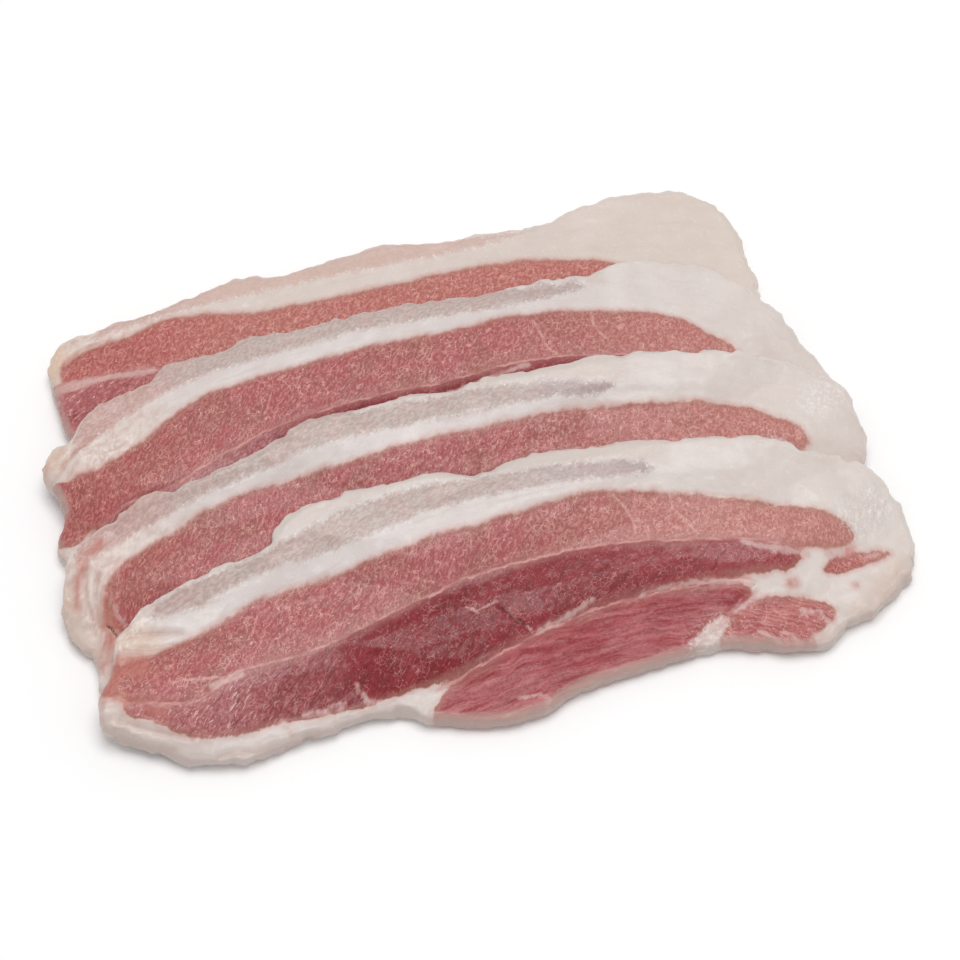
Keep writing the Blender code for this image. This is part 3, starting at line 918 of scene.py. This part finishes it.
# %% Fat
def fat_colour(place, swayed, at, lean_depth):
    """Colour of the fat, and the height of its specks."""
    clouds = grains(place, 5.0, 0.34, 0.66, seed=31)
    streaks = threads(swayed, 0.0, 7.0, 0.8, 0.50, 0.74, seed=32)
    specks = grains(place, 0.5, 0.54, 0.72, seed=33)
    juice = add_node("Mix", COLOUR_MIX, {
        FACTOR: grains(swayed, 1.1, 0.38, 0.66, seed=34), FIRST: "#dfcbbc", SECOND: "#c69786"})
    clouded = add_node("Mix", COLOUR_MIX, {FACTOR: clouds, FIRST: "#d3c8c5", SECOND: "#dbd2cf"})
    creamy = washes(clouded, [
        (streaks, 0.35, "#c9b6ae"), (at["right"], 0.5, "#d9ccc2"), (at["orange"], 0.35, "#d5c1b0")])
    stained = add_node("Math", TIMES, {0: at["left"], 1: 0.5})
    warm = add_node("Mix", COLOUR_MIX, {FACTOR: stained, FIRST: creamy, SECOND: juice})
    specked = washes(warm, [
        (at["yellow"], 0.9, "#d9bca6"), (at["beyond"], 0.7, "#cdbfb7"), (specks, 0.2, "#eee8e5")])
    return laid_along(specked, lean_depth, -1.6, 0.1, 0.5, "#c9958b"), specks


print("fat ready")

# %% [markdown]
# ## The thin sheet
# This muscle is thin enough to see through, so it is a warm grey with a faint level grain, pinker where it
# is thicker at the left ends, cooler at the right, and beige on the back slice.

# %% The finish of the thin sheet
def sheet_colour(place, bent, at):
    """Colour of the thin glassy muscle near the skin side."""
    light = threads(bent, math.radians(6), 0.6, 0.32, 0.36, 0.66, seed=41)
    clouds = grains(place, 3.0, 0.34, 0.66, seed=42)
    grey = add_node("Mix", COLOUR_MIX, {FACTOR: light, FIRST: "#ae9a93", SECOND: "#c3b3ac"})
    rosy = add_node("Mix", COLOUR_MIX, {FACTOR: light, FIRST: "#ba938d", SECOND: "#cdada5"})
    rosier = add_node("Math", TIMES_PLUS, {0: clouds, 1: 0.4, 2: at["pink_sheet"]})
    mixed = add_node("Mix", COLOUR_MIX, {FACTOR: rosier, FIRST: grey, SECOND: rosy})
    return washes(mixed, [(at["right"], 1.0, "#9c898e"), (at["orange"], 0.65, "#d1b7aa")])


print("sheet ready")

# %% [markdown]
# ## Seams and marks
# Between two muscles lies a thin film that comes and goes along its way. Strands of fat and veins follow
# the paths that were given, a little off them, as real ones wander, and folds get painted shade in their
# creases.

# %% Seams and marks
SEAM_HALF_WIDTH = 0.30


def seam_line(one, other, place, seed):
    """A thin film where two muscles are equally far, fading and widening along its way."""
    gap = add_node("Math", LESS, {0: one, 1: other})
    wavy = wandering(gap, place, [(2.2, 0.8, seed), (0.6, 0.35, seed + 1)])
    away = add_node("Math", SIZE_OF, {0: wavy})
    return add_node("MapRange", SOFT_CUT, {
        "Value": away, "From Min": 3 * SEAM_HALF_WIDTH, "From Max": 0.8 * SEAM_HALF_WIDTH})


def seamed(flesh, place, at):
    """The flesh with the film of each seam over it."""
    first_seam = seam_line(at["pale"], at["dark"], place, 61)
    second_seam = seam_line(at["dark"], at["flank"], place, 64)
    either = add_node("Math", LARGER, {0: first_seam, 1: second_seam})
    uneven = add_node("MapRange", None, {
        "Value": grains(place, 2.5, 0.38, 0.6, seed=67), "To Min": 0.15, "To Max": 0.85})
    seam = add_node("Math", TIMES, {0: either, 1: uneven})
    kept_seam = add_node("Math", TIMES, {0: seam, 1: at["between"]})
    return washes(flesh, [(at["between"], 0.25, "#b27474"), (kept_seam, 1.0, "#d2958f")])


def marked(flesh, place, at):
    """The flesh with its strands, veins, and painted shade in its folds."""
    strand_here = wandering(at["strand"], place, [(1.1, 0.5, 71)])
    stranded = laid_along(flesh, strand_here, 0.6, -0.6, 0.66, "#d4b2ad")
    vein_here = wandering(at["vein"], place, [(0.7, 0.2, 73)])
    veined = laid_along(stranded, vein_here, 0.55, 0.1, 0.55, "#dcb0a7")
    # Folds: painted shade, a darker brown laid into each crease.
    return laid_along(veined, at["fold"], 0.9, 0.1, 0.35, "#b98a7d")


print("seams of", 2 * SEAM_HALF_WIDTH, "mm")

# %% [markdown]
# ## Rims and walls
# Where the slice ends, its face turns down into the wall. Fat has a duller lip there and muscle a thin
# pale ledge. The far rim gets a painted highlight, as if it caught the light, and the wall is dulled by a
# film, muscle more than fat, which is partly the cut's membrane and partly painted shade, most on near walls.

# %% Rims and walls
def rimmed(flesh, is_lean, at):
    """The flesh with its lip, ledge, painted highlight on the far rim, and wall film with painted shade."""
    on_fat = add_node("MapRange", None, {"Value": is_lean, "To Min": 0.55, "To Max": 0.0})
    lip = add_node("Math", TIMES, {0: at["lip"], 1: on_fat})
    ledge = add_node("Math", TIMES, {0: at["ledge"], 1: is_lean})
    # Painted highlight along the far rim, stronger on fat than on muscle.
    rim_highlight_share = add_node("MapRange", None, {"Value": is_lean, "To Min": 0.35, "To Max": 0.05})
    edge = add_node("Math", TIMES, {0: at["far_rim_highlight"], 1: rim_highlight_share})
    # Wall film: partly the cut's membrane, partly painted shade on walls turned from the light.
    wall_film_and_shade_share = add_node("MapRange", None, {"Value": is_lean, "To Min": 0.4, "To Max": 0.72})
    film = add_node("Math", TIMES, {0: at["wall"], 1: wall_film_and_shade_share})
    return washes(flesh, [
        (lip, 1.0, "#c9b8b0"), (ledge, 0.7, "#c1a098"), (edge, 1.0, "#e2d7d0"), (film, 1.0, "#b5a098")])


print("rims ready")

# %% [markdown]
# ## Water
# Raw meat is wet. Its gloss is a coat of water over the whole face, sharper than the flesh below, which
# small beads break into sparks. They are strongest on muscle.

# %% Water
WATER_IOR = 1.33
WATER_COAT = 0.45
WATER_ROUGHNESS = 0.12
SPARK_HEIGHT = 0.10 * MM


def water(bent, is_lean):
    """The inputs of a shader's coat for a film of water with beads."""
    beads = grains(bent, 0.32, 0.54, 0.68, seed=81)
    on_muscle = add_node("MapRange", None, {"Value": is_lean, "To Min": 0.35, "To Max": 1.0})
    height = add_node("Math", TIMES, {0: beads, 1: on_muscle})
    return {
        "Coat Weight": WATER_COAT,
        "Coat Roughness": WATER_ROUGHNESS,
        "Coat IOR": WATER_IOR,
        "Coat Normal": add_node("Bump", None, {"Distance": SPARK_HEIGHT, "Height": height}),
    }


print("water ready")

# %% [markdown]
# ## The cut face of raw pork
# All of it comes together in one material, because on the real slice it is one wet surface left by a
# knife. Masks choose between fat, sheet and the three muscles. Seams, marks and rims go over them, and
# cracks are painted dark as shade. Light goes a millimetre into raw flesh, which subsurface gives.

# %% The material
FLESH_IOR = 1.38
LIGHT_REACH = 1.0 * MM
GRAIN_HEIGHT = 0.10 * MM
MUSCLE_GROWTH = 0.40
SEAM_FILL = 1.1
JUICE_TINT = (1.0, 0.86, 0.84, 1.0)


def raw_pork():
    """Raw pork, sliced with a knife: moist, soft-edged and slightly see-through."""
    at = {name: add_node("Attribute", {"attribute_name": name}).outputs["Fac"] for name in numbers_kept}
    place = add_node("Attribute", {"attribute_name": "grain"}).outputs["Vector"]

    pale_or_dark = add_node("Math", LARGER, {0: at["pale"], 1: at["dark"]})
    any_muscle = add_node("Math", LARGER, {0: pale_or_dark, 1: at["flank"]})
    filled = add_node("Math", TIMES_PLUS, {0: at["between"], 1: SEAM_FILL, 2: any_muscle})
    grown = add_node("Math", PLUS, {0: filled, 1: MUSCLE_GROWTH})
    lean_depth = wandering(grown, place, [(3.0, 0.5, 51), (0.6, 0.2, 52)])
    sheet_here = wandering(at["sheet"], place, [(1.8, 0.6, 53), (0.6, 0.4, 54)])

    bent = bend(place, 0.8, 1.3)
    swayed = bend(place, 3.0, 3.5)
    pale, granules = pale_muscle(place, bent, at)
    dark, strokes = dark_muscle(place, bent, swayed, at)
    flank, fibres = flank_muscle(place, swayed)
    fat, specks = fat_colour(place, swayed, at, lean_depth)
    sheet = sheet_colour(place, bent, at)

    is_dark = deeper_in(at["dark"], at["pale"])
    is_flank = deeper_in(at["flank"], pale_or_dark)
    pale_sharpness = add_node("MapRange", None, {"Value": at["right"], "To Min": 0.6, "To Max": 0.85})
    sharpness = add_node("Mix", NUMBER_MIX, {FACTOR: is_dark, ONE: pale_sharpness, OTHER: 1.4})
    edge_depth = add_node("Math", TIMES, {0: lean_depth, 1: sharpness})
    is_lean = add_node("MapRange", SOFT_CUT, {"Value": edge_depth, "From Min": -0.3, "From Max": 0.45})

    two = add_node("Mix", COLOUR_MIX, {FACTOR: is_dark, FIRST: pale, SECOND: dark})
    three = add_node("Mix", COLOUR_MIX, {FACTOR: is_flank, FIRST: two, SECOND: flank})
    juiced = add_node("Mix", TINT, {FACTOR: at["left"], FIRST: three, SECOND: JUICE_TINT})
    lean = laid_along(juiced, lean_depth, 1.9, 0.3, 0.5, "#a97767")
    bare_sheet = laid_along(fat, sheet_here, -1.0, 1.0, 0.9, sheet)
    off_edge = add_node("Math", SIZE_OF, {0: sheet_here})
    at_edge = add_node("MapRange", SOFT_CUT, {"Value": off_edge, "From Min": 1.6, "From Max": 0.2})
    edge_specks = add_node("Math", TIMES, {0: at_edge, 1: grains(bent, 0.36, 0.55, 0.66, seed=83)})
    stain = add_node("Math", TIMES, {0: at["stain"], 1: grains(place, 1.6, 0.1, 0.6, seed=75)})
    stained_fat = washes(bare_sheet, [(edge_specks, 0.55, "#ebe4e0"), (stain, 0.9, "#bb7467")])
    stained_lean = washes(lean, [(stain, 0.6, "#c27a6c")])
    flesh = add_node("Mix", COLOUR_MIX, {FACTOR: is_lean, FIRST: stained_fat, SECOND: stained_lean})
    dressed = rimmed(marked(seamed(flesh, place, at), place, at), is_lean, at)
    # Cracks: painted shade, a dark red laid into each crack.
    crack_shaded = laid_along(dressed, at["crack"], 0.5, 0.1, 0.85, "#651a1e")
    # White flecks in the wet patches: painted highlights of the water's glints.
    glint_grains = grains(bent, 0.5, 0.50, 0.62, seed=77)
    painted_wet_glints = add_node("Math", TIMES, {0: glint_grains, 1: at["wet"]})

    across_bundles = add_node("Mix", NUMBER_MIX, {FACTOR: is_dark, ONE: granules, OTHER: strokes})
    lean_height = add_node("Mix", NUMBER_MIX, {FACTOR: is_flank, ONE: across_bundles, OTHER: fibres})
    soft_specks = add_node("Math", TIMES, {0: specks, 1: 0.4})
    height = add_node("Mix", NUMBER_MIX, {FACTOR: is_lean, ONE: soft_specks, OTHER: lean_height})
    shader = add_node("BsdfPrincipled", None, {
        "Base Color": washes(crack_shaded, [(painted_wet_glints, 0.4, "#f1ebe9")]),
        "Roughness": add_node("MapRange", None, {
            "Value": grains(place, 3.0, 0.35, 0.65, seed=79), "To Min": 0.42, "To Max": 0.54}),
        "IOR": FLESH_IOR,
        "Subsurface Weight": 0.1,
        "Subsurface Radius": (1.0, 0.4, 0.3),
        "Subsurface Scale": LIGHT_REACH,
        "Normal": add_node("Bump", None, {"Distance": GRAIN_HEIGHT, "Height": height}),
        **water(bent, is_lean),
    })
    add_node("OutputMaterial", None, {"Surface": shader})


def matt_card():
    """Pale card under the slices: matt, so that it gives no reflection to compete with the meat."""
    material = bpy.data.materials.new("pale_matt_card")
    material.use_nodes = True
    shader = material.node_tree.nodes["Principled BSDF"]
    shader.inputs["Base Color"].default_value = linear("#fdfdfd")
    shader.inputs["Roughness"].default_value = 0.9
    return material


raw_pork()
floor.data.materials.append(matt_card())
print("the cut face has", len(tree.nodes), "nodes")

# %% [markdown]
# ## Put the slices in the frame
# Each finished slice stands for the solids that it was made from, and moves with them. Smooth shading
# hides the facets, which are half a millimetre wide.

# %% Finish the slices
for number, piece in slices.items():
    piece.data.materials.append(pork)
    choose(piece)
    bpy.ops.object.shade_smooth()
    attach(piece, "root")
    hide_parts(*nodes_of(number))
    print(piece.name, "stands for", len(nodes_of(number)), "solids")
